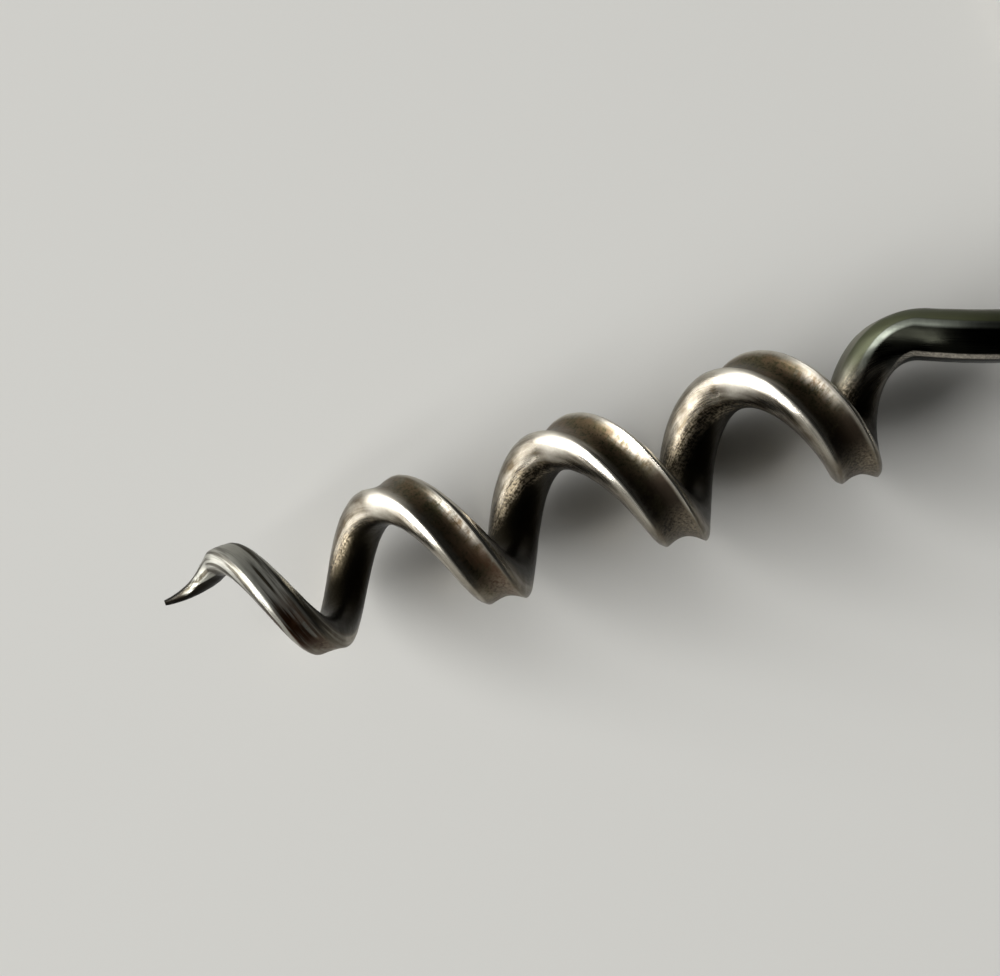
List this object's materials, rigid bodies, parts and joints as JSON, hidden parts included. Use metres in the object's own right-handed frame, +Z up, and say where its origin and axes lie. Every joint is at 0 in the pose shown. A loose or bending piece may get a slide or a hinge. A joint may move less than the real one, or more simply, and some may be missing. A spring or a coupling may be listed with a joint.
{
  "type": "peg and worm corkscrew",
  "caption": "Steel peg and worm corkscrew: a fluted right-hand helix on a shank bent into an eye, and a tapered peg with a turned knob that slides through the eye as the T handle.",
  "frame": {"origin": "on the surface that the corkscrew lies on, under the middle of its box", "axes": "+X along the worm from its point to its eye, +Y across it along the peg, towards the peg's plain end, +Z up"},
  "size_m": [0.076, 0.0646, 0.0103],
  "materials": {
    "worm_steel": "drawn and filed steel, burnished on the crests and lips, with a brown patina in the flute",
    "peg_steel": "turned steel, darkened, with handling scratches",
    "knob_steel": "turned steel, darkened in the neck and burnished on the ball"
  },
  "bodies": {
    "worm": {"worm": "worm_steel"},
    "peg": {"peg_rod": "peg_steel", "peg_head": "knob_steel"}
  },
  "joints": [
    {"name": "peg_slide", "type": "slide", "parent": "worm", "child": "peg", "axis": [0, -1, 0], "range_m": [-0.0238, 0.0352]}
  ]
}
